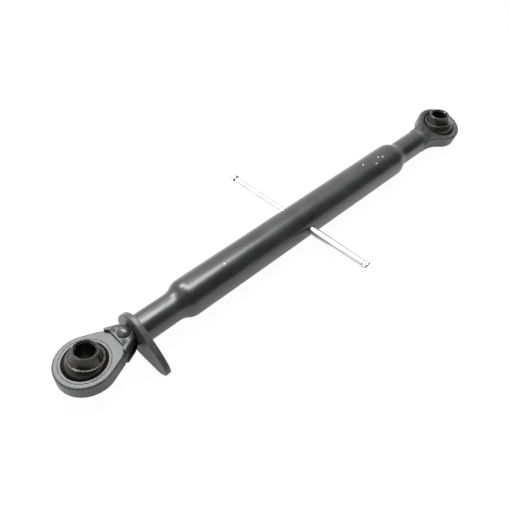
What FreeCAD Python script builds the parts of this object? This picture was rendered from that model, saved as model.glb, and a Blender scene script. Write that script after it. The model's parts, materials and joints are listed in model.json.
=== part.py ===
import FreeCAD, Part

import math
import os

# Tractor top link, category 1: two captive-ball eyes on right- and left-hand threaded rods,
# drawn together by a swaged tube barrel that is turned with a sliding tommy bar.
# Millimetres. Origin: centre of the tractor-end ball, on the link's axis.
# +X runs along the link to the implement-end ball, +Z is up, and both pin bores stand along Z.

# Driving dimensions -------------------------------------------------------------------------
CLOSED_LENGTH = 568.0       # ball centre to ball centre with both rods screwed right in
PIN_BORE = 19.3             # for the 19 mm category 1 pin
BALL_WIDTH = 44.0           # over the hub ends
BALL_RADIUS = 21.2
EYE_RADIUS = 30.0
EYE_THICKNESS = 15.0
ROD_DIAMETER = 24.0         # major diameter of the rod threads
TUBE_DIAMETER = 42.4
TUBE_WALL = 4.8
NECK_DIAMETER = 31.0        # swaged and tapped ends of the tube
BARREL_END = 518.0
NECK_LENGTH = 42.0
SWAGE_LENGTH = 20.0         # length of the taper between neck and tube
RIVET_X = 43.4
RIVET_PIN = 11.0
FORK_THICKNESS = 21.5       # over the two ears
LEVER_FACE = 50.6           # tractor-side face of the lock lever
LEVER_THICKNESS = 6.6
TOMMY_X = 286.0
TOMMY_DIAMETER = 10.0
TOMMY_LENGTH = 216.0
TOMMY_SLID = 5.0            # how far the bar's middle stands off the link's axis at rest
IMPLEMENT_EYE_TURN = 16.0   # degrees that the screwed-in implement eye stands off the fork
TRACTOR_BALL_LEAN = 10.0    # degrees that the tractor ball leans towards +X in its eye at rest

# Fits and clearances ------------------------------------------------------------------------
THREAD_CLEARANCE = 0.05     # radial, rod in tapped neck and in lever
SEAT_CLEARANCE = 0.15       # radial, ball in eye
RIVET_CLEARANCE = 0.08      # radial, rivet in the tongue
PRESS_CLEARANCE = 0.02      # radial, rivet in the ears
TOMMY_CLEARANCE = 0.4       # radial, bar in its cross hole
FACE_GAP = 0.3              # between faces that turn or slide past each other

BARREL_START = LEVER_FACE + LEVER_THICKNESS + FACE_GAP

X_AXIS = FreeCAD.Vector(1, 0, 0)
Y_AXIS = FreeCAD.Vector(0, 1, 0)
Z_AXIS = FreeCAD.Vector(0, 0, 1)
ORIGIN = FreeCAD.Vector(0, 0, 0)


def at(x, y, z=0.0):
    return FreeCAD.Vector(x, y, z)


def edges_through(stations):
    """Edges through stations: a point is a straight run, a (middle, end) pair is an arc."""
    edges = []
    here = stations[0]
    for step in stations[1:]:
        if isinstance(step, tuple):
            middle, there = step
            edges.append(Part.Arc(here, middle, there).toShape())
        else:
            there = step
            edges.append(Part.LineSegment(here, there).toShape())
        here = there
    return edges


def face_through(stations):
    """Face inside a closed outline of straight runs and arcs."""
    return Part.Face(Part.Wire(edges_through(stations + [stations[0]])))


def swage(x_neck, x_tube, r_neck, r_tube):
    """S-shaped rise from neck to tube, as the two (middle, end) arcs of a profile in XY."""
    half_x = (x_tube - x_neck) / 2.0
    half_r = (r_tube - r_neck) / 2.0
    chord = math.hypot(half_x, half_r)
    radius = chord * chord / (2.0 * half_r)
    direction = math.copysign(1.0, half_x)
    lean = math.asin(chord / radius / 2.0)
    run = radius * math.sin(lean)
    rise = radius * (1.0 - math.cos(lean))
    knee = at(x_neck + half_x, r_neck + half_r)
    low = at(x_neck + direction * run, r_neck + rise)
    high = at(x_tube - direction * run, r_tube - rise)
    return [(low, knee), (high, at(x_tube, r_tube))]


def swage_back(x_neck, x_tube, r_neck, r_tube):
    """The same rise run down from tube to neck."""
    low, high = swage(x_neck, x_tube, r_neck, r_tube)
    return [(high[0], low[1]), (low[0], at(x_neck, r_neck))]


def revolved(stations, axis):
    return face_through(stations).revolve(ORIGIN, axis, 360)


def rounded(solid, radius, wanted):
    """Fillet the edges for which wanted(edge) is true."""
    return solid.makeFillet(radius, [edge for edge in solid.Edges if wanted(edge)])


def lies_flat_at(edge, heights, beyond=None):
    """True for an edge that runs in one of the planes z = height, all of it with x <= beyond."""
    box = edge.BoundBox
    if box.ZLength > 0.01 or all(abs(box.ZMin - height) > 0.01 for height in heights):
        return False
    return beyond is None or box.XMax <= beyond


# Captive ball ----------------------------------------------------------------------------
HUB_RADIUS = 12.9
HUB_FOOT = 12.0             # height at which the hub meets the sphere
HUB_STEP = 1.2              # flat ring on the sphere at the hub's foot
HUB_WAIST = (14.2, 16.6)    # radius and height that the hub's hollow side passes
BORE_CHAMFER = 1.5
RIM_ROUND = 0.6


def captive_ball(x):
    """Sphere with a waisted hub on each side and a chamfered pin bore."""
    bore = PIN_BORE / 2.0
    top = BALL_WIDTH / 2.0
    foot = math.sqrt(BALL_RADIUS ** 2 - HUB_FOOT ** 2)
    waist_radius, waist_height = HUB_WAIST
    outline = [
        at(bore, 0, -top + BORE_CHAMFER),
        at(bore + BORE_CHAMFER, 0, -top),
        at(HUB_RADIUS - RIM_ROUND, 0, -top),
        at(HUB_RADIUS, 0, -top + RIM_ROUND),
        (at(waist_radius, 0, -waist_height), at(foot - HUB_STEP, 0, -HUB_FOOT)),
        at(foot, 0, -HUB_FOOT),
        (at(BALL_RADIUS, 0, 0), at(foot, 0, HUB_FOOT)),
        at(foot - HUB_STEP, 0, HUB_FOOT),
        (at(waist_radius, 0, waist_height), at(HUB_RADIUS, 0, top - RIM_ROUND)),
        at(HUB_RADIUS - RIM_ROUND, 0, top),
        at(bore + BORE_CHAMFER, 0, top),
        at(bore, 0, top - BORE_CHAMFER),
    ]
    ball = revolved(outline, Z_AXIS)
    ball.translate(at(x, 0))
    return ball


# Eyes ------------------------------------------------------------------------------------
GROOVE_RADIUS = 22.2        # mouth of the groove round the ball, on the eye's face
GROOVE_DEPTH = 3.2
STAKE_RADIUS = 24.6         # ring left by the tool that closed the eye over its ball
STAKE_WIDTH = 0.9
STAKE_DEPTH = 0.35
EYE_EDGE = 2.0              # rounding of the forging's edges


def ball_seat(thickness, x):
    """What an eye loses to the ball: the spherical seat and a groove at each mouth."""
    half = thickness / 2.0
    seat = BALL_RADIUS + SEAT_CLEARANCE
    inner = math.sqrt(seat ** 2 - (half - GROOVE_DEPTH) ** 2)
    proud = 1.0
    slope = (GROOVE_RADIUS - inner) / GROOVE_DEPTH
    outline = [
        at(0, 0, -half - proud),
        at(GROOVE_RADIUS + slope * proud, 0, -half - proud),
        at(inner, 0, -half + GROOVE_DEPTH),
        (at(seat, 0, 0), at(inner, 0, half - GROOVE_DEPTH)),
        at(GROOVE_RADIUS + slope * proud, 0, half + proud),
        at(0, 0, half + proud),
    ]
    cutter = revolved(outline, Z_AXIS)
    cutter.translate(at(x, 0))
    return cutter


def staking_rings(thickness):
    """Shallow ring cut round the ball on both faces of an eye at the origin."""
    half = thickness / 2.0
    proud = 1.0
    flare = STAKE_WIDTH / 2.0 * (STAKE_DEPTH + proud) / STAKE_DEPTH
    ring = revolved([
        at(STAKE_RADIUS, 0, half - STAKE_DEPTH),
        at(STAKE_RADIUS + flare, 0, half + proud),
        at(STAKE_RADIUS - flare, 0, half + proud),
    ], Z_AXIS)
    return Part.makeCompound([ring, ring.mirror(ORIGIN, Z_AXIS)])


def slab(face, thickness):
    """Extrude a face that lies in XY to both sides of the XY plane."""
    face.translate(at(0, 0, -thickness / 2.0))
    return face.extrude(at(0, 0, thickness))


TAPER_DEGREES = 24.0        # each side of the knuckle, against the link's axis
TONGUE_SHOULDER = 27.5      # where the tongue draws in to pass between the ears
TONGUE_END_RADIUS = 8.8


def knuckle_side(x, inset=0.0):
    """Half width of the tapering knuckle at x."""
    taper = math.radians(TAPER_DEGREES)
    return EYE_RADIUS / math.cos(taper) - inset - x * math.tan(taper)


def knuckle_eye():
    """Forged eye whose flat tongue swings between the fork's ears."""
    taper = math.radians(TAPER_DEGREES)
    tangent = at(EYE_RADIUS * math.sin(taper), EYE_RADIUS * math.cos(taper))
    shoulder = at(TONGUE_SHOULDER, knuckle_side(TONGUE_SHOULDER))
    reach = math.hypot(RIVET_X - shoulder.x, shoulder.y)
    bearing = math.atan2(shoulder.y, shoulder.x - RIVET_X)
    turn = bearing - math.acos(TONGUE_END_RADIUS / reach)
    end = at(RIVET_X + TONGUE_END_RADIUS * math.cos(turn), TONGUE_END_RADIUS * math.sin(turn))
    plate = slab(face_through([
        at(shoulder.x, -shoulder.y),
        at(end.x, -end.y),
        (at(RIVET_X + TONGUE_END_RADIUS, 0), end),
        shoulder,
        tangent,
        (at(-EYE_RADIUS, 0), at(tangent.x, -tangent.y)),
    ]), EYE_THICKNESS)
    half = EYE_THICKNESS / 2.0
    plate = rounded(plate, EYE_EDGE, lambda edge: lies_flat_at(edge, (-half, half)))
    hole = Part.makeCylinder(RIVET_PIN / 2.0 + RIVET_CLEARANCE, EYE_THICKNESS + 2,
                             at(RIVET_X, 0, -half - 1), Z_AXIS)
    return plate.cut(ball_seat(EYE_THICKNESS, 0)).cut(staking_rings(EYE_THICKNESS)).cut(hole)


# Fork and its rod -------------------------------------------------------------------------
NOTCH_X = 35.0              # straight part of the ears' hollowed ends
NOTCH_HALF_WIDTH = 11.4
EAR_TIP_X = 27.0
EAR_INSET = 0.3             # ears within the eye's own taper
EAR_TIP_ROUND = 1.6
EAR_EDGE = 1.0
EAR_TURNED_RADIUS = 26.0    # turned profile of the ears at their tips
SHOULDER_X = 40.6           # where that profile starts to curve in to the rod
SHOULDER_RADIUS = 20.5
SHOULDER_WAIST = (47.0, 14.2)   # x and radius that the curve passes
FORK_BACK = LEVER_FACE - 0.5
RELIEF_RADIUS = 10.5        # thread relief where the rod leaves the fork
SLOT_BOTTOM = RIVET_X + TONGUE_END_RADIUS + 0.4
ROD_INSIDE = 205.0          # threaded length inside the barrel
ROD_POINT = 2.0             # chamfer on the inner end


def fork_rod():
    """Fork of two ears with hollowed ends, forged in one with the right-hand rod."""
    radius = ROD_DIAMETER / 2.0
    half = FORK_THICKNESS / 2.0
    tip = knuckle_side(EAR_TIP_X, EAR_INSET)
    root = knuckle_side(LEVER_FACE, EAR_INSET)
    ears = slab(face_through([
        at(NOTCH_X, -NOTCH_HALF_WIDTH),
        at(EAR_TIP_X, -tip),
        at(FORK_BACK, -root),
        at(FORK_BACK, root),
        at(EAR_TIP_X, tip),
        at(NOTCH_X, NOTCH_HALF_WIDTH),
    ]), FORK_THICKNESS)
    ears = rounded(ears, EAR_TIP_ROUND, lambda edge: edge.BoundBox.ZLength > 1
                   and edge.BoundBox.XMax < EAR_TIP_X + 0.1)
    ears = rounded(ears, EAR_EDGE, lambda edge: lies_flat_at(edge, (-half, half))
                   and edge.BoundBox.XMax > FORK_BACK - 0.5 and edge.BoundBox.XLength > 5)
    turned = revolved([
        at(EAR_TIP_X - 1, 0),
        at(EAR_TIP_X - 1, EAR_TURNED_RADIUS),
        at(SHOULDER_X, SHOULDER_RADIUS),
        (at(*SHOULDER_WAIST), at(FORK_BACK, radius)),
        at(FORK_BACK, 0),
    ], X_AXIS)
    inner_end = BARREL_START + ROD_INSIDE
    rod = revolved([
        at(FORK_BACK - 1, 0),
        at(FORK_BACK - 1, RELIEF_RADIUS),
        at(LEVER_FACE, RELIEF_RADIUS),
        at(LEVER_FACE + radius - RELIEF_RADIUS, radius),
        at(inner_end - ROD_POINT, radius),
        at(inner_end, radius - ROD_POINT),
        at(inner_end, 0),
    ], X_AXIS)
    slot_height = EYE_THICKNESS + FACE_GAP
    slot = Part.makeBox(SLOT_BOTTOM, 80, slot_height, at(0, -40, -slot_height / 2.0))
    hole = Part.makeCylinder(RIVET_PIN / 2.0 + PRESS_CLEARANCE, FORK_THICKNESS + 2,
                             at(RIVET_X, 0, -half - 1), Z_AXIS)
    return ears.common(turned).fuse(rod).removeSplitter().cut(slot).cut(hole)


RIVET_HEAD_RADIUS = 6.9
RIVET_HEAD_HEIGHT = 4.4
RIVET_LIP = 0.8             # upright edge of the head


def knuckle_rivet():
    """Domed rivet, closed on both sides of the fork."""
    half = FORK_THICKNESS / 2.0
    pin = RIVET_PIN / 2.0
    top = half + RIVET_HEAD_HEIGHT
    lip = half + RIVET_LIP
    rise = RIVET_HEAD_HEIGHT - RIVET_LIP
    dome = (RIVET_HEAD_RADIUS ** 2 + rise ** 2) / (2.0 * rise)
    halfway = math.asin(RIVET_HEAD_RADIUS / dome) / 2.0
    crown = at(dome * math.sin(halfway), 0, top - dome * (1.0 - math.cos(halfway)))
    rivet = revolved([
        at(0, 0, -top),
        (at(crown.x, 0, -crown.z), at(RIVET_HEAD_RADIUS, 0, -lip)),
        at(RIVET_HEAD_RADIUS, 0, -half),
        at(pin, 0, -half),
        at(pin, 0, half),
        at(RIVET_HEAD_RADIUS, 0, half),
        at(RIVET_HEAD_RADIUS, 0, lip),
        (crown, at(0, 0, top)),
    ], Z_AXIS)
    rivet.translate(at(RIVET_X, 0))
    return rivet


# Lock lever -------------------------------------------------------------------------------
LEVER_EDGE = 1.6
LEVER_OUTLINE = [           # Y and Z of the points that the forging's smooth outline passes
    (23.5, 2.0),
    (13.0, 18.5),
    (-4.0, 26.5),
    (-22.5, 19.0),
    (-38.0, 7.5),
    (-48.5, -3.5),
    (-51.8, -13.0),
    (-45.0, -20.4),
    (-26.0, -22.8),
    (-5.0, -23.0),
    (15.0, -14.5),
]


def lock_lever():
    """Flat forged lock nut: round about the rod, drawn out to a blunt tail on the -Y side."""
    curve = Part.BSplineCurve()
    curve.interpolate([at(LEVER_FACE, y, z) for y, z in LEVER_OUTLINE], PeriodicFlag=True)
    plate = Part.Face(Part.Wire(curve.toShape())).extrude(at(LEVER_THICKNESS, 0))
    plate = rounded(plate, LEVER_EDGE, lambda edge: edge.BoundBox.XLength < 0.01)
    hole = Part.makeCylinder(ROD_DIAMETER / 2.0 + THREAD_CLEARANCE, LEVER_THICKNESS + 2,
                             at(LEVER_FACE - 1, 0), X_AXIS)
    return plate.cut(hole)


# Barrel -----------------------------------------------------------------------------------
NECK_CHAMFER = 1.2


def barrel():
    """Tube with both ends swaged down and tapped, and a cross hole for the tommy bar."""
    neck = NECK_DIAMETER / 2.0
    tube = TUBE_DIAMETER / 2.0
    hollow = tube - TUBE_WALL
    tapped = ROD_DIAMETER / 2.0 + THREAD_CLEARANCE
    near_neck = BARREL_START + NECK_LENGTH
    far_neck = BARREL_END - NECK_LENGTH
    near_tube = near_neck + SWAGE_LENGTH
    far_tube = far_neck - SWAGE_LENGTH
    outside = [
        at(BARREL_START, tapped),
        at(BARREL_START, neck - NECK_CHAMFER),
        at(BARREL_START + NECK_CHAMFER, neck),
        at(near_neck, neck),
        *swage(near_neck, near_tube, neck, tube),
        at(far_tube, tube),
        *swage_back(far_neck, far_tube, neck, tube),
        at(BARREL_END - NECK_CHAMFER, neck),
        at(BARREL_END, neck - NECK_CHAMFER),
        at(BARREL_END, tapped),
    ]
    inside = [
        at(far_neck, tapped),
        at(far_tube, hollow),
        at(near_tube, hollow),
        at(near_neck, tapped),
    ]
    body = revolved(outside + inside, X_AXIS)
    hole = Part.makeCylinder(TOMMY_DIAMETER / 2.0 + TOMMY_CLEARANCE, TUBE_DIAMETER + 4,
                             at(TOMMY_X, -tube - 2), Y_AXIS)
    return body.cut(hole)


# Tommy bar --------------------------------------------------------------------------------
KNOB_DIAMETER = 12.6
KNOB_LENGTH = 8.0
KNOB_SLOPE = 1.6            # from the bar out to the knob
KNOB_ROUND = 2.0            # rounding of the knob's end


def tommy_bar():
    """Plain bar that slides through the barrel, kept in by an upset knob on each end."""
    bar = TOMMY_DIAMETER / 2.0
    knob = KNOB_DIAMETER / 2.0
    half = TOMMY_LENGTH / 2.0
    shoulder = half - KNOB_LENGTH
    flat = knob - KNOB_ROUND
    bulge = KNOB_ROUND * math.sqrt(0.5)
    body = revolved([
        at(0, -half),
        at(flat, -half),
        (at(flat + bulge, -half + KNOB_ROUND - bulge), at(knob, -half + KNOB_ROUND)),
        at(knob, -shoulder - KNOB_SLOPE),
        at(bar, -shoulder),
        at(bar, shoulder),
        at(knob, shoulder + KNOB_SLOPE),
        at(knob, half - KNOB_ROUND),
        (at(flat + bulge, half - KNOB_ROUND + bulge), at(flat, half)),
        at(0, half),
    ], Y_AXIS)
    body.translate(at(TOMMY_X, TOMMY_SLID))
    return body


# Implement end ----------------------------------------------------------------------------
COLLAR_RADIUS = 15.4
COLLAR_START = BARREL_END + FACE_GAP
COLLAR_LENGTH = 6.0
COLLAR_RUNOUT = (13.0, 5.0)     # length and final radius of the collar's blend into the eye
IMPLEMENT_EYE_RADIUS = 29.0
IMPLEMENT_EYE_THICKNESS = 17.0
EYE_ROOT = 14.6             # half width of the eye's plate at the collar
EYE_FILLET = 45.0           # hollow between collar and eye, in plan


def implement_rod():
    """Eye forged in one with its collar and the left-hand rod."""
    radius = ROD_DIAMETER / 2.0
    eye = IMPLEMENT_EYE_RADIUS
    half = IMPLEMENT_EYE_THICKNESS / 2.0
    inner_end = BARREL_END - ROD_INSIDE
    collar_end = COLLAR_START + COLLAR_LENGTH
    hollow_y = EYE_ROOT + EYE_FILLET
    hollow_x = CLOSED_LENGTH - math.sqrt((eye + EYE_FILLET) ** 2 - hollow_y ** 2)
    bearing = math.atan2(hollow_y, CLOSED_LENGTH - hollow_x)
    meet = at(CLOSED_LENGTH - eye * math.cos(bearing), eye * math.sin(bearing))
    halfway = (math.pi / 2.0 + bearing) / 2.0
    middle = at(hollow_x + EYE_FILLET * math.cos(halfway), hollow_y - EYE_FILLET * math.sin(halfway))
    plate = slab(face_through([
        at(COLLAR_START + 2, -EYE_ROOT),
        at(hollow_x, -EYE_ROOT),
        (at(middle.x, -middle.y), at(meet.x, -meet.y)),
        (at(CLOSED_LENGTH + eye, 0), meet),
        (middle, at(hollow_x, EYE_ROOT)),
        at(COLLAR_START + 2, EYE_ROOT),
    ]), IMPLEMENT_EYE_THICKNESS)
    plate = rounded(plate, EYE_EDGE, lambda edge: lies_flat_at(edge, (-half, half)))
    runout, final = COLLAR_RUNOUT
    shaft = revolved([
        at(inner_end, 0),
        at(inner_end, radius - ROD_POINT),
        at(inner_end + ROD_POINT, radius),
        at(COLLAR_START, radius),
        at(COLLAR_START, COLLAR_RADIUS - 1),
        at(COLLAR_START + 1, COLLAR_RADIUS),
        at(collar_end, COLLAR_RADIUS),
        (at(collar_end + runout * 0.62, COLLAR_RADIUS * 0.7), at(collar_end + runout, final)),
        at(collar_end + runout, 0),
    ], X_AXIS)
    seat = ball_seat(IMPLEMENT_EYE_THICKNESS, CLOSED_LENGTH)
    return plate.fuse(shaft).removeSplitter().cut(seat)


PARTS = {
    "tractor_ball": captive_ball(0).rotated(ORIGIN, Y_AXIS, TRACTOR_BALL_LEAN),
    "knuckle_eye": knuckle_eye(),
    "fork_rod": fork_rod(),
    "knuckle_rivet": knuckle_rivet(),
    "lock_lever": lock_lever(),
    "barrel": barrel(),
    "tommy_bar": tommy_bar(),
    "implement_rod": implement_rod().rotated(ORIGIN, X_AXIS, IMPLEMENT_EYE_TURN),
    "implement_ball": captive_ball(CLOSED_LENGTH),
}

os.makedirs("parts", exist_ok=True)
for name, shape in PARTS.items():
    shape.exportStep("parts/" + name + ".step")
    box = shape.BoundBox
    print(name, len(shape.Solids), shape.isValid(), round(shape.Volume),
          [round(v, 1) for v in (box.XMin, box.XMax, box.YMin, box.YMax, box.ZMin, box.ZMax)])
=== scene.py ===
import json
import math

import bmesh
import bpy
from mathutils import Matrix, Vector

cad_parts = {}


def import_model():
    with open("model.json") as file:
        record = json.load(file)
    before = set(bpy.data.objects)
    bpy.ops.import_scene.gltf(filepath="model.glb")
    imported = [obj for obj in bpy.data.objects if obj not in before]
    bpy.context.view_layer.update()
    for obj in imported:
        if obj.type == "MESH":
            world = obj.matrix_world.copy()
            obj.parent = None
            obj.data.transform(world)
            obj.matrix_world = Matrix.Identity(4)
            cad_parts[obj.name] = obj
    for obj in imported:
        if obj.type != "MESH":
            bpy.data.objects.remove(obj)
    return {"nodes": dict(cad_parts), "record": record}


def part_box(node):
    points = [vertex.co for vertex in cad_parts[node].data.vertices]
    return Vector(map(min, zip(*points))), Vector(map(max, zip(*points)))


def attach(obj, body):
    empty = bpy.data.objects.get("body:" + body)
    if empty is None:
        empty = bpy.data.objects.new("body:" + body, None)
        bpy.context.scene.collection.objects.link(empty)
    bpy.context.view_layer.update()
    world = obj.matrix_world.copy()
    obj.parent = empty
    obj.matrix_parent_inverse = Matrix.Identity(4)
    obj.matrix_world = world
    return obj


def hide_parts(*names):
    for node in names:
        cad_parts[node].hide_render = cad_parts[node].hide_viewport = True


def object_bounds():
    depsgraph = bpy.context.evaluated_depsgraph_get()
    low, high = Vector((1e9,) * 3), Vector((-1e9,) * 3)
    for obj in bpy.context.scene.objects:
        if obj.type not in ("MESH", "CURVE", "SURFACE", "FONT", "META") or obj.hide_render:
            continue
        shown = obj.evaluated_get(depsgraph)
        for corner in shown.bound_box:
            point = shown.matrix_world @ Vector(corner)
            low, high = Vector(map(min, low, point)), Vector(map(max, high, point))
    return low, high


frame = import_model()
CAD_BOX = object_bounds()

MM = 0.001

# Driving values. The link's axis is X, with the tractor ball's centre at 0 --------------------
BARREL_LOW, BARREL_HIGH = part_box("barrel")
_, FORK_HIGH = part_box("fork_rod")
LEVER_LOW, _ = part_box("lock_lever")
EYE_LOW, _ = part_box("implement_rod")
MIDDLE = (BARREL_LOW.x + BARREL_HIGH.x) / 2.0
TUBE_RADIUS = BARREL_HIGH.z
FLOOR_Z = CAD_BOX[0].z

# M24 x 3 thread on both rods
ROD_RADIUS = 12.0 * MM
PITCH = 3.0 * MM
THREAD_DEPTH = 1.7 * MM
CREST_SHARE = 0.12              # flat crest, as a share of the pitch
FLANK_SHARE = 0.76              # both flanks, as a share of the pitch
RUNOUT = 2.5 * MM               # the thread fades out over this length beside the forging
CHAMFER = 2.0 * MM              # and ends in a cone of this length
STEPS_PER_PITCH = 8
STEPS_AROUND = 60
OVERLAP = 0.2 * MM              # the threaded rod starts this far inside the forging
INSIDE_MOUTH = 1.0 * MM         # the implement rod is cut this far inside the barrel's mouth
RIGHT_HAND, LEFT_HAND = 1, -1

WELD = 1e-7                     # metres
FORGING_SHARP = math.radians(32.0)
THREAD_SHARP = math.radians(40.0)

# Paint splashes on the barrel: metres along the link, degrees round it from +Y
SPLASHES = ((0.418, 112), (0.434, 104), (0.428, 96), (0.402, 88), (0.166, 108))
SPLASH_RADIUS = 1.6 * MM
SPLASH_CORE = 0.6               # share of the radius that is full colour

# Studio
FLOOR_SIZE = 30.0
FLOOR_CENTRE = (0.28, 0.0, FLOOR_Z)
FLOOR_COLOUR = (0.86, 0.86, 0.86, 1.0)
WHITE = (1.0, 1.0, 1.0, 1.0)
WHITE_TO_CAMERA = 0.97          # share of the floor that glows white; the rest takes the shadow
WHITE_IN_GLOSS = 0.5
DARK_ROOM, PALE_WALL = 0.02, 0.95           # world brightness towards -Y and +Y
ROOM_ENDS, WALL_STARTS = -0.42, 0.02        # as the Y of the direction
# name, place, what it points at, size, watts
SOFTBOXES = (
    ("overhead", (MIDDLE + 0.12, 0.12, 1.1), (MIDDLE, 0.0, 0.0), (0.66, 0.5), 12.0),
    ("head", (0.14, 0.74, 1.1), (0.0, 0.0, 0.0), (0.45, 0.5), 10.0),
)
# Camera, fitted to the photo's outlines
CAMERA_PLACE = (-0.0966, -0.3245, 0.4497)
PITCH_DOWN = 45.36              # degrees below level
HEADING = 43.9                  # degrees from +Y towards +X
SENSOR_WIDTH = 36.0             # millimetres
LENS = 40.69                    # millimetres


# Node materials -------------------------------------------------------------------------------
def put(tree, socket, value):
    """Sets a socket to a value, or links it to another socket."""
    if isinstance(value, bpy.types.NodeSocket):
        tree.links.new(value, socket)
    else:
        socket.default_value = value


def add_node(tree, kind, inputs=(), **settings):
    """New node in tree. inputs pairs a socket's name or number with a value or a socket."""
    made = tree.nodes.new(kind)
    for key, value in settings.items():
        setattr(made, key, value)
    for key, value in dict(inputs).items():
        put(tree, made.inputs[key], value)
    return made


class Shader:
    """A Principled material and short ways to add procedural nodes to it."""

    def __init__(self, name):
        self.material = bpy.data.materials.new(name)
        self.material.use_nodes = True
        self.tree = self.material.node_tree
        self.surface = self.tree.nodes["Principled BSDF"]
        self.place = self.node("ShaderNodeTexCoord").outputs["Object"]

    def node(self, kind, inputs=(), **settings):
        return add_node(self.tree, kind, inputs, **settings)

    def noise(self, per_metre, detail=3.0, rough=0.5, stretch=(1.0, 1.0, 1.0)):
        place = self.node("ShaderNodeMapping", {"Vector": self.place, "Scale": stretch})
        return self.node("ShaderNodeTexNoise", {
            "Vector": place.outputs["Vector"],
            "Scale": per_metre,
            "Detail": detail,
            "Roughness": rough,
        }).outputs["Fac"]

    def spread(self, value, low, high, start=0.0, end=1.0):
        """value remapped so that low..high becomes start..end, held beyond."""
        return self.node("ShaderNodeMapRange", {
            "Value": value,
            "From Min": low,
            "From Max": high,
            "To Min": start,
            "To Max": end,
        }).outputs["Result"]

    def mix(self, share, first, second):
        """Blend of two colours, each a socket or (r, g, b)."""
        ends = [end if isinstance(end, bpy.types.NodeSocket) else (*end, 1.0)
                for end in (first, second)]
        # The node's colour sockets are its inputs 6 and 7, and its output 2.
        inputs = {0: share, 6: ends[0], 7: ends[1]}
        return self.node("ShaderNodeMix", inputs, data_type="RGBA").outputs[2]

    def calc(self, operation, *values):
        made = self.node("ShaderNodeMath", enumerate(values), operation=operation)
        return made.outputs["Value"]

    def edges(self, width, low=0.0, high=0.12):
        """1 on convex and concave edges, 0 on faces."""
        bevel = self.node("ShaderNodeBevel", {"Radius": width}, samples=4).outputs["Normal"]
        normal = self.node("ShaderNodeNewGeometry").outputs["Normal"]
        dot = self.node("ShaderNodeVectorMath", enumerate((bevel, normal)),
                        operation="DOT_PRODUCT").outputs["Value"]
        return self.spread(self.calc("SUBTRACT", 1.0, dot), low, high)

    def bump(self, *heights):
        """Stacks bumps of (height, distance in metres)."""
        normal = None
        for height, distance in heights:
            inputs = {"Height": height, "Distance": distance, "Strength": 1.0}
            if normal is not None:
                inputs["Normal"] = normal
            normal = self.node("ShaderNodeBump", inputs).outputs["Normal"]
        put(self.tree, self.surface.inputs["Normal"], normal)

    def set(self, **values):
        """Principled inputs, each a value or a socket, with _ for the space in a name."""
        for key, value in values.items():
            put(self.tree, self.surface.inputs[key.replace("_", " ")], value)


def on_barrel(x, degrees):
    """Point on the barrel's tube, degrees round the link's axis from +Y."""
    angle = math.radians(degrees)
    return (x, TUBE_RADIUS * math.cos(angle), TUBE_RADIUS * math.sin(angle))


def paint_splashes(s):
    """0..1 mask of small ragged splashes on the barrel."""
    total = None
    for place in SPLASHES:
        away = s.node("ShaderNodeVectorMath", enumerate((s.place, on_barrel(*place))),
                      operation="DISTANCE").outputs["Value"]
        spot = s.spread(away, SPLASH_RADIUS * SPLASH_CORE, SPLASH_RADIUS, 1.0, 0.0)
        total = spot if total is None else s.calc("MAXIMUM", total, spot)
    ragged = s.spread(s.noise(900.0, detail=4.0), 0.44, 0.52)
    return s.calc("MULTIPLY", total, ragged)


def black_paint():
    """Gloss black over drawn tube: faint draw lines, orange peel, dust, a few pale splashes."""
    deep, faded = (0.016, 0.016, 0.016), (0.026, 0.027, 0.027)
    dusty, rubbed, splashed = (0.16, 0.16, 0.15), (0.16, 0.16, 0.155), (0.55, 0.56, 0.55)
    s = Shader("black_paint")
    cloud = s.noise(35.0, detail=5.0, rough=0.6)
    peel = s.noise(700.0, detail=2.0)
    drawn = s.noise(260.0, rough=0.6, stretch=(0.02, 1.0, 1.0))
    dust = s.spread(s.noise(2400.0, detail=2.0), 0.66, 0.74)
    broken = s.spread(s.noise(500.0, detail=4.0), 0.46, 0.6)
    edge = s.calc("MULTIPLY", s.edges(0.8 * MM), broken)
    colour = s.mix(s.spread(cloud, 0.35, 0.65), deep, faded)
    colour = s.mix(s.calc("MULTIPLY", dust, 0.5), colour, dusty)
    colour = s.mix(edge, colour, rubbed)
    colour = s.mix(paint_splashes(s), colour, splashed)
    s.set(Base_Color=colour, Roughness=s.spread(cloud, 0.3, 0.7, 0.28, 0.40), Coat_Weight=0.3,
          Coat_Roughness=0.2, IOR=1.6)
    s.bump((drawn, 0.04 * MM), (peel, 0.03 * MM))
    return s.material


def black_forging():
    """Thin satin black over a forging: scale texture, soft mottling and worn edges."""
    deep, faded = (0.035, 0.036, 0.036), (0.06, 0.062, 0.061)
    scaled, worn = (0.085, 0.087, 0.086), (0.24, 0.24, 0.235)
    s = Shader("black_forging")
    cloud = s.noise(55.0, detail=5.0, rough=0.6)
    scale = s.noise(420.0, detail=5.0, rough=0.62)
    grain = s.noise(1800.0)
    pits = s.spread(s.noise(240.0, detail=4.0, rough=0.6), 0.28, 0.4)
    broken = s.spread(s.noise(330.0, detail=5.0, rough=0.6), 0.44, 0.6)
    edge = s.calc("MULTIPLY", s.edges(0.9 * MM), broken)
    colour = s.mix(s.spread(cloud, 0.35, 0.65), deep, faded)
    colour = s.mix(s.spread(scale, 0.4, 0.7), colour, scaled)
    colour = s.mix(edge, colour, worn)
    s.set(Base_Color=colour, Metallic=0.25, Roughness=s.spread(scale, 0.3, 0.7, 0.36, 0.52),
          Coat_Weight=0.25, Coat_Roughness=0.3)
    s.bump((pits, 0.12 * MM), (scale, 0.14 * MM), (grain, 0.025 * MM))
    return s.material


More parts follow.
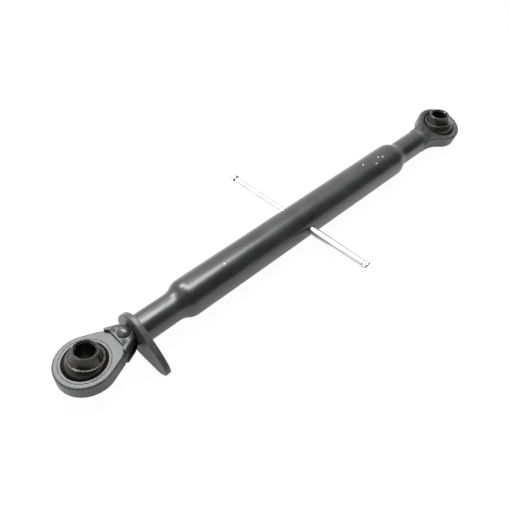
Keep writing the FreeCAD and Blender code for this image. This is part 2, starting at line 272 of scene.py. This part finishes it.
def ball_steel():
    """Turned steel, oiled black; rims painted bright, partly rubbed steel and partly a painted
    highlight.
    """
    deep, faded = (0.018, 0.018, 0.018), (0.035, 0.035, 0.034)
    # bright: the rims' colour, rubbed steel together with a painted highlight
    oiled, bright = (0.06, 0.052, 0.038), (0.48, 0.48, 0.465)
    s = Shader("ball_steel")
    turned = s.noise(1500.0, detail=2.0, stretch=(0.06, 0.06, 1.0))
    cloud = s.noise(120.0, detail=4.0, rough=0.6)
    oil = s.spread(s.noise(80.0), 0.5, 0.62)
    # Mask of all rims, which get the rubbed steel and painted highlight colour
    edge = s.edges(0.6 * MM, 0.01, 0.15)
    colour = s.mix(s.spread(cloud, 0.35, 0.7), deep, faded)
    colour = s.mix(s.calc("MULTIPLY", oil, 0.4), colour, oiled)
    colour = s.mix(edge, colour, bright)
    s.set(Base_Color=colour, Metallic=0.55, Roughness=s.spread(cloud, 0.3, 0.7, 0.14, 0.26))
    s.bump((turned, 0.02 * MM), (cloud, 0.05 * MM))
    return s.material


def rivet_steel():
    """Hammered rivet head under thin black."""
    deep, faded = (0.05, 0.052, 0.051), (0.11, 0.112, 0.11)
    s = Shader("rivet_steel")
    dents = s.noise(260.0, detail=2.0)
    scale = s.noise(900.0, detail=4.0)
    colour = s.mix(s.spread(scale, 0.4, 0.65), deep, faded)
    s.set(Base_Color=colour, Metallic=0.35, Roughness=s.spread(dents, 0.3, 0.7, 0.26, 0.42),
          Coat_Weight=0.3, Coat_Roughness=0.2)
    s.bump((dents, 0.25 * MM), (scale, 0.04 * MM))
    return s.material


def zinc_plate():
    """Bright zinc: faint lengthwise scratches and clouding."""
    dull, bright = (0.80, 0.80, 0.81), (0.93, 0.93, 0.93)
    s = Shader("zinc_plate")
    cloud = s.noise(60.0, detail=4.0, rough=0.6)
    scratch = s.noise(1600.0, rough=0.6, stretch=(1.0, 0.03, 1.0))
    colour = s.mix(s.spread(cloud, 0.35, 0.65), dull, bright)
    s.set(Base_Color=colour, Metallic=1.0, Roughness=s.spread(cloud, 0.3, 0.7, 0.14, 0.26))
    s.bump((scratch, 0.01 * MM))
    return s.material


def thread_steel():
    """Cut thread, oiled: bright crests, dark roots."""
    root, tip, oiled = (0.05, 0.048, 0.045), (0.30, 0.30, 0.29), (0.12, 0.11, 0.095)
    s = Shader("thread_steel")
    cloud = s.noise(90.0, detail=4.0, rough=0.6)
    across = s.node("ShaderNodeSeparateXYZ", {"Vector": s.place}).outputs
    radius = s.calc("SQRT", s.calc("ADD", s.calc("POWER", across["Y"], 2.0),
                                   s.calc("POWER", across["Z"], 2.0)))
    crest = s.spread(radius, ROD_RADIUS - THREAD_DEPTH, ROD_RADIUS - 0.2 * MM)
    colour = s.mix(crest, root, tip)
    colour = s.mix(s.spread(cloud, 0.5, 0.75), colour, oiled)
    s.set(Base_Color=colour, Metallic=0.9, Roughness=s.spread(cloud, 0.3, 0.7, 0.24, 0.4))
    s.bump((s.noise(1200.0, detail=2.0), 0.02 * MM))
    return s.material


MATERIALS = {
    "black_paint": black_paint(),
    "black_forging": black_forging(),
    "ball_steel": ball_steel(),
    "rivet_steel": rivet_steel(),
    "zinc_plate": zinc_plate(),
    "thread_steel": thread_steel(),
}

SLOT_OF = {part["node"]: part["material_slot"] for part in frame["record"]["subparts"]}
for name, piece in frame["nodes"].items():
    piece.data.materials.clear()
    piece.data.materials.append(MATERIALS[SLOT_OF[name]])


# Threaded rods --------------------------------------------------------------------------------
def mesh_object(name, mesh, material, sharp):
    """Object of a bmesh, which it frees: smooth, but for edges sharper than the angle sharp."""
    data = bpy.data.meshes.new(name)
    mesh.to_mesh(data)
    mesh.free()
    data.materials.append(material)
    data.shade_smooth()
    data.set_sharp_from_angle(angle=sharp)
    made = bpy.data.objects.new(name, data)
    bpy.context.scene.collection.objects.link(made)
    return made


def thread_mesh(start, end, hand):
    """Closed mesh of a threaded rod along X, run out at start and chamfered at end."""
    step = PITCH / STEPS_PER_PITCH
    direction = math.copysign(1.0, end - start)
    length = abs(end - start)
    mesh = bmesh.new()
    rings = []
    for i in range(round(length / step) + 1):
        x = start + direction * min(i * step, length)
        depth = THREAD_DEPTH * min(1.0, abs(x - start) / RUNOUT)
        full = min(1.0, abs(end - x) / CHAMFER)
        limit = ROD_RADIUS - THREAD_DEPTH * (1.0 - full)
        ring = []
        for j in range(STEPS_AROUND):
            turn = j / STEPS_AROUND
            phase = (x / PITCH - hand * turn) % 1.0
            # flank is 0 on the crest and 1 at the root.
            flank = min(1.0, max(0.0, (abs(phase - 0.5) * 2.0 - CREST_SHARE) / FLANK_SHARE))
            radius = min(limit, ROD_RADIUS - depth * flank)
            angle = math.tau * turn
            ring.append(mesh.verts.new((x, radius * math.cos(angle), radius * math.sin(angle))))
        rings.append(ring)
    for near, far in zip(rings, rings[1:]):
        for j in range(STEPS_AROUND):
            k = (j + 1) % STEPS_AROUND
            mesh.faces.new((near[j], near[k], far[k], far[j]))
    mesh.faces.new(rings[0])
    mesh.faces.new(rings[-1])
    bmesh.ops.recalc_face_normals(mesh, faces=mesh.faces)
    return mesh


def threaded_rod(node, cut, end, hand, body):
    """Copy of a CAD forging with its plain rod beyond x = cut exchanged for a threaded one."""
    away = math.copysign(1.0, end - cut)
    keep = bmesh.new()
    keep.from_mesh(frame["nodes"][node].data)
    bmesh.ops.remove_doubles(keep, verts=keep.verts, dist=WELD)
    cutting = bmesh.ops.bisect_plane(keep, geom=[*keep.verts, *keep.edges, *keep.faces],
                                     plane_co=(cut, 0.0, 0.0), plane_no=(away, 0.0, 0.0),
                                     clear_outer=True)
    rim = [part for part in cutting["geom_cut"] if isinstance(part, bmesh.types.BMEdge)]
    bmesh.ops.holes_fill(keep, edges=rim)
    made = mesh_object(node + "_forging", keep, MATERIALS["black_forging"], FORGING_SHARP)
    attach(made, body)
    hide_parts(node)
    thread = thread_mesh(cut - away * OVERLAP, end, hand)
    rod = mesh_object(node + "_thread", thread, MATERIALS["thread_steel"], THREAD_SHARP)
    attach(rod, body)


threaded_rod("fork_rod", LEVER_LOW.x, FORK_HIGH.x, RIGHT_HAND, "fork")
threaded_rod("implement_rod", BARREL_HIGH.x - INSIDE_MOUTH, EYE_LOW.x, LEFT_HAND, "implement_eye")


# Studio ---------------------------------------------------------------------------------------
def floor():
    """Pale floor: mostly white to the camera and in reflections, with the shadow kept."""
    material = bpy.data.materials.new("floor")
    material.use_nodes = True
    tree = material.node_tree
    tree.nodes.clear()

    def calc(operation, *values):
        return add_node(tree, "ShaderNodeMath", enumerate(values), operation=operation).outputs[0]

    ray = add_node(tree, "ShaderNodeLightPath").outputs
    seen = calc("MULTIPLY", ray["Is Camera Ray"], WHITE_TO_CAMERA)
    mirrored = calc("MAXIMUM", ray["Is Glossy Ray"], ray["Is Transmission Ray"])
    share = calc("MAXIMUM", seen, calc("MULTIPLY", mirrored, WHITE_IN_GLOSS))
    diffuse = add_node(tree, "ShaderNodeBsdfDiffuse", {"Color": FLOOR_COLOUR}).outputs[0]
    glow = add_node(tree, "ShaderNodeEmission", {"Color": WHITE, "Strength": 1.0}).outputs[0]
    blend = add_node(tree, "ShaderNodeMixShader", enumerate((share, diffuse, glow))).outputs[0]
    add_node(tree, "ShaderNodeOutputMaterial", {"Surface": blend})
    bpy.ops.mesh.primitive_plane_add(size=FLOOR_SIZE, location=FLOOR_CENTRE)
    plane = bpy.context.object
    plane.name = "floor"
    plane.data.materials.append(material)


def world():
    """White to the camera. It lights the part as a pale wall at +Y and a dark room at -Y."""
    room = bpy.data.worlds.new("room")
    bpy.context.scene.world = room
    room.use_nodes = True
    tree = room.node_tree
    direction = add_node(tree, "ShaderNodeTexCoord").outputs["Generated"]
    parts = add_node(tree, "ShaderNodeSeparateXYZ", {0: direction}).outputs
    wall = add_node(tree, "ShaderNodeMapRange", {
        "Value": parts["Y"],
        "From Min": ROOM_ENDS,
        "From Max": WALL_STARTS,
        "To Min": DARK_ROOM,
        "To Max": PALE_WALL,
    }, interpolation_type="SMOOTHSTEP").outputs["Result"]
    camera_ray = add_node(tree, "ShaderNodeLightPath").outputs["Is Camera Ray"]
    white = add_node(tree, "ShaderNodeMix", {0: camera_ray, 6: wall, 7: WHITE}, data_type="RGBA")
    background = tree.nodes["Background"].inputs
    put(tree, background["Color"], white.outputs[2])
    put(tree, background["Strength"], 1.0)


def softbox(name, place, target, size, power):
    light = bpy.data.lights.new(name, "AREA")
    light.shape = "RECTANGLE"
    light.size, light.size_y = size
    light.energy = power
    lamp = bpy.data.objects.new(name, light)
    bpy.context.scene.collection.objects.link(lamp)
    lamp.location = place
    aim = Vector(target) - Vector(place)
    lamp.rotation_euler = aim.to_track_quat("-Z", "Y").to_euler()


def camera():
    data = bpy.data.cameras.new("camera")
    data.sensor_width = SENSOR_WIDTH
    data.lens = LENS
    made = bpy.data.objects.new("camera", data)
    bpy.context.scene.collection.objects.link(made)
    made.location = CAMERA_PLACE
    made.rotation_euler = (math.radians(90.0 - PITCH_DOWN), 0.0, -math.radians(HEADING))
    bpy.context.scene.camera = made


floor()
world()
for settings in SOFTBOXES:
    softbox(*settings)
camera()
bpy.context.scene.view_settings.view_transform = "Standard"
